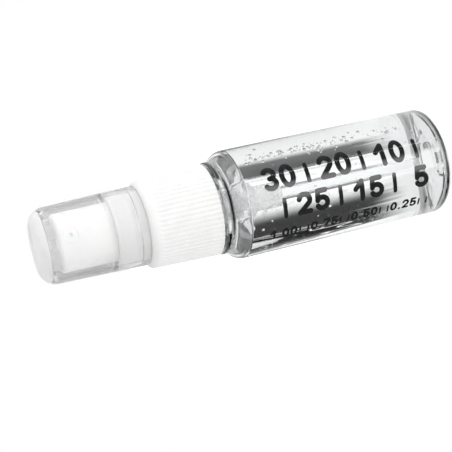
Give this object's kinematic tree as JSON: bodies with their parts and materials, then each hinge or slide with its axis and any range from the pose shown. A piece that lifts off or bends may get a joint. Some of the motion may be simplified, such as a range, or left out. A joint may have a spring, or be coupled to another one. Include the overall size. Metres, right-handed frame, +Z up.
{
  "type": "pump spray bottle",
  "caption": "Pocket pump-spray bottle for lens cleaning liquid: clear cylinder bottle, ribbed white screw collar, finger pump with dip tube, and clear overcap.",
  "frame": {"origin": "centre of the bottle's foot, on the surface that it stands on", "axes": "+Z up along the bottle's axis towards the overcap; -Y is the way the nozzle sprays"},
  "size_m": [0.03, 0.03, 0.1158],
  "materials": {
    "clear_bottle": "gloss",
    "clear_liquid": "gloss",
    "white_closure": "satin",
    "white_button": "satin",
    "white_nozzle": "gloss",
    "clear_overcap": "gloss",
    "natural_pump_plastic": "satin",
    "natural_tube": "satin",
    "white_foam": "matte",
    "grey_rubber": "matte",
    "stainless_wire": "satin",
    "stainless_ball": "polished"
  },
  "bodies": {
    "root": {"bottle": "clear_bottle", "cleaning_liquid": "clear_liquid"},
    "pump": {"pump_housing": "natural_pump_plastic", "pump_gland": "natural_pump_plastic", "stem_seal": "grey_rubber", "neck_gasket": "white_foam", "dip_tube": "natural_tube", "return_spring": "stainless_wire"},
    "collar": {"screw_collar": "white_closure"},
    "cap": {"overcap": "clear_overcap"},
    "stem": {"stem": "natural_pump_plastic", "stem_plug": "natural_pump_plastic", "valve_spring": "stainless_wire"},
    "piston": {"piston": "natural_pump_plastic"},
    "button": {"actuator": "white_button", "nozzle_insert": "white_nozzle"},
    "ball": {"check_ball": "stainless_ball"}
  },
  "joints": [
    {"name": "pump_lift", "type": "slide", "parent": "root", "child": "pump", "axis": [0, 0, 1], "range_m": [0, 0.00476]},
    {"name": "collar_unscrew", "type": "hinge", "parent": "pump", "child": "collar", "pos_m": [0, 0, 0.0824], "axis": [0, 0, 1], "range_deg": [0, 540]},
    {"name": "overcap_pull", "type": "slide", "parent": "collar", "child": "cap", "axis": [0, 0, 1], "range_m": [0, 0.035]},
    {"name": "actuator_press", "type": "slide", "parent": "pump", "child": "stem", "axis": [0, 0, -1], "range_m": [0, 0.0045], "stiffness_N_per_m": 600, "springref_m": -0.002, "deforming": ["return_spring"]},
    {"name": "piston_lag", "type": "slide", "parent": "stem", "child": "piston", "axis": [0, 0, 1], "range_m": [0, 0.0006], "deforming": ["valve_spring"]},
    {"name": "button_turn", "type": "hinge", "parent": "stem", "child": "button", "pos_m": [0, 0, 0.1], "axis": [0, 0, 1], "continuous": true},
    {"name": "ball_lift", "type": "slide", "parent": "pump", "child": "ball", "axis": [0, 0, 1], "range_m": [0, 0.0006]}
  ],
  "couplings": [
    {"joint": "collar_unscrew", "follows": "pump_lift", "rad_per_m": 1979},
    {"joint": "piston_lag", "follows": "actuator_press", "ratio": 0.13}
  ]
}
